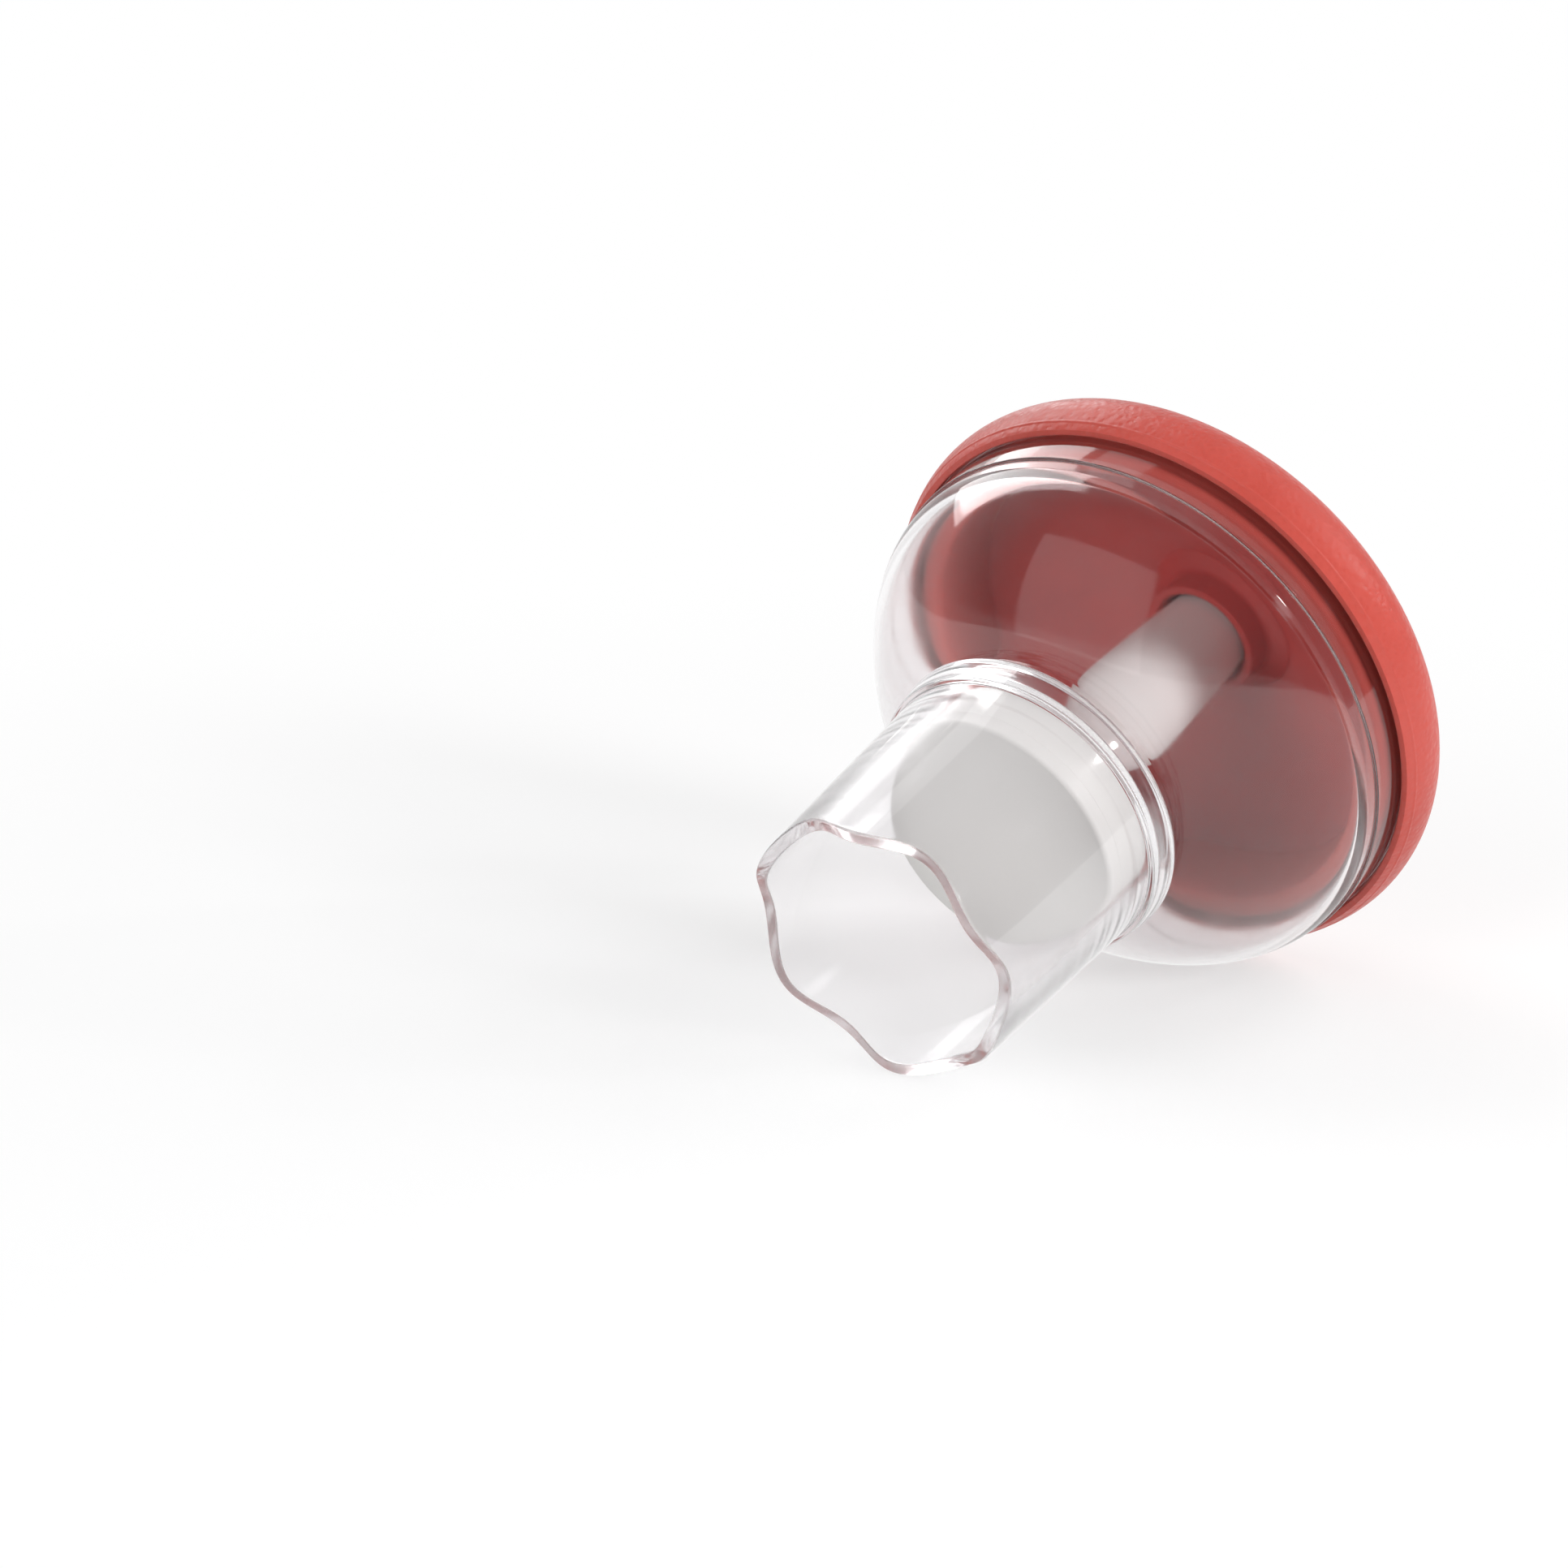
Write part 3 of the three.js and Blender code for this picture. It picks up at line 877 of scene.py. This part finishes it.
class CORER_OT_stage(bpy.types.Operator):
    """Pale table on which the corer lies, soft boxes, white surroundings and the camera."""

    bl_idname = "corer.stage"
    bl_label = "Stage"

    def execute(self, context):
        scene, s = context.scene, context.scene.corer_stage
        up = Vector(s.table_up).normalized()
        eye, gaze = Vector(s.eye), Vector(s.gaze)
        ahead = (gaze - eye).normalized()
        right = ahead.cross(up).normalized()
        front = right.cross(up).normalized()
        middle = Vector((0, 0, cad_box[1].z / 2))

        lowest = min(self.reach(piece, up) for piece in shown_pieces())
        self.table(s, up, right, front, lowest)
        self.surroundings(scene, s, front)
        for lamp in LAMPS:
            across, rise = math.radians(lamp.azimuth), math.radians(lamp.elevation)
            level = right * math.sin(across) + front * math.cos(across)
            self.hang(lamp, middle, level * math.cos(rise) + up * math.sin(rise), up)

        camera = bpy.data.objects.new("camera", bpy.data.cameras.new("camera"))
        camera.data.sensor_width = SENSOR_WIDTH
        camera.data.lens = SENSOR_WIDTH * s.focal_pixels / PHOTO_PIXELS
        above = right.cross(ahead)
        camera.matrix_world = Matrix.Translation(eye) @ Matrix((right, above, -ahead)).transposed().to_4x4()
        scene.collection.objects.link(camera)
        scene.camera = camera
        scene.view_settings.view_transform = "Standard"
        scene.cycles.max_bounces = scene.cycles.transmission_bounces = CLEAR_BOUNCES
        scene.cycles.glossy_bounces = MIRROR_BOUNCES
        return {"FINISHED"}

    @staticmethod
    def reach(piece, up):
        """How far a piece reaches along up, at its lowest vertex."""
        spots = np.empty(len(piece.data.vertices) * 3)
        piece.data.vertices.foreach_get("co", spots)
        return float((spots.reshape(-1, 3) @ np.array(up)).min())

    @staticmethod
    def table(s, up, right, front, lowest):
        """A flat round sheet just under the lowest reach: a point of the ring of radius r at angle t goes to
        r (cos t right - sin t front)."""
        radii = np.linspace(0, TABLE_RADIUS, TABLE_RINGS + 1)
        turns = np.arange(TABLE_SIDES) * 2 * math.pi / TABLE_SIDES
        ring, turn = np.meshgrid(radii, turns, indexing="ij")
        flat = ring[..., None] * (
            np.cos(turn)[..., None] * np.array(right) - np.sin(turn)[..., None] * np.array(front)
        )
        spots = flat + (lowest - TABLE_GAP) * np.array(up)
        index = np.arange(ring.size).reshape(ring.shape)
        following = np.roll(index, -1, axis=1)
        faces = np.stack([index[:-1], index[1:], following[1:], following[:-1]], 2).reshape(-1, 4)
        mesh = bpy.data.meshes.new("table")
        mesh.from_pydata(spots.reshape(-1, 3).tolist(), [], faces.tolist())
        mesh.update()
        table = bpy.data.objects.new("table", mesh)
        bpy.context.scene.collection.objects.link(table)
        table.data.materials.append(table_material(s.table_shade))
        table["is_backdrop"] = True

    @staticmethod
    def surroundings(scene, s, front):
        """White where the camera looks. All else sees a white backdrop and a dim room in front of the table."""
        world = bpy.data.worlds.new("studio")
        scene.world = world
        graph = Graph(world)
        way = graph.add("ShaderNodeTexCoord", out="Generated")
        ends = {0: way, 1: tuple(front)}
        ahead = graph.add("ShaderNodeVectorMath", {"operation": "DOT_PRODUCT"}, ends, out="Value")
        path = graph.add("ShaderNodeLightPath", out="Is Camera Ray")
        near = graph.span(ahead, *ROOM_FADE, 0.0, 1.0)
        beside = graph.span(ahead, *MIRROR_FADE, 0.0, 1.0)
        white = (1.0, 1.0, 1.0)
        spread = graph.blend_colours(near, (s.ambient,) * 3, s.room_mirrored)
        mirrored = graph.blend_colours(beside, s.backdrop_mirrored, s.room_mirrored)
        through = graph.blend_colours(near, white, s.room_through)
        first = 1.0 - path.out("Diffuse Depth").smaller(1.0)
        shown = graph.blend_colours(first * path.out("Is Glossy Ray"), spread, mirrored)
        shown = graph.blend_colours(first * path.out("Is Transmission Ray"), shown, through)
        background = graph.add("ShaderNodeBackground", None, {"Color": graph.blend_colours(path, shown, white)})
        graph.add("ShaderNodeOutputWorld", None, {"Surface": background})

    @staticmethod
    def hang(lamp, aim, way, up):
        """Hangs a lamp at a fixed distance from aim, facing it. Its power gives its face the lamp's radiance: pi
        times its area times the radiance."""
        light = bpy.data.lights.new(lamp.name, "AREA")
        light.shape = "RECTANGLE"
        light.size = 2 * LAMP_DISTANCE * math.tan(math.radians(lamp.wide) / 2)
        light.size_y = 2 * LAMP_DISTANCE * math.tan(math.radians(lamp.high) / 2)
        light.energy = math.pi * light.size * light.size_y * lamp.radiance
        box = bpy.data.objects.new(lamp.name, light)
        box.visible_diffuse = lamp.lights
        box.visible_glossy = lamp.mirrored
        box.visible_transmission = lamp.through
        across = up.cross(way).normalized()
        turn = Matrix((across, way.cross(across), way)).transposed().to_4x4()
        box.matrix_world = Matrix.Translation(aim + way * LAMP_DISTANCE) @ turn
        bpy.context.scene.collection.objects.link(box)


class CORER_PT_panel(bpy.types.Panel):
    """Lists the corer's pieces and its stage."""

    bl_idname = "CORER_PT_panel"
    bl_label = "Cupcake corer"
    bl_space_type = "VIEW_3D"
    bl_region_type = "UI"
    bl_category = "Corer"

    def draw(self, context):
        for operator in OPERATORS:
            self.layout.operator(operator.bl_idname)
        for name in GROUPS:
            settings = getattr(context.scene, name)
            box = self.layout.box()
            box.label(text=settings.__class__.__name__)
            for key in settings.__annotations__:
                box.prop(settings, key)


OPERATORS = (CORER_OT_tube, CORER_OT_bowl, CORER_OT_cap, CORER_OT_plunger, CORER_OT_stage)
GROUPS = {
    "corer_clear": ClearSizes,
    "corer_cap": CapSizes,
    "corer_plunger": PlungerSizes,
    "corer_colours": CorerColours,
    "corer_stage": StageSettings,
}


def register():
    for kind in (*GROUPS.values(), *OPERATORS, CORER_PT_panel):
        bpy.utils.register_class(kind)
    for name, kind in GROUPS.items():
        setattr(bpy.types.Scene, name, bpy.props.PointerProperty(type=kind))


def unregister():
    for name in GROUPS:
        delattr(bpy.types.Scene, name)
    for kind in (CORER_PT_panel, *reversed(OPERATORS), *GROUPS.values()):
        bpy.utils.unregister_class(kind)


def main():
    register()
    bpy.ops.corer.tube()
    bpy.ops.corer.bowl()
    bpy.ops.corer.cap()
    bpy.ops.corer.plunger()
    bpy.ops.corer.stage()


if __name__ == "__main__":
    main()
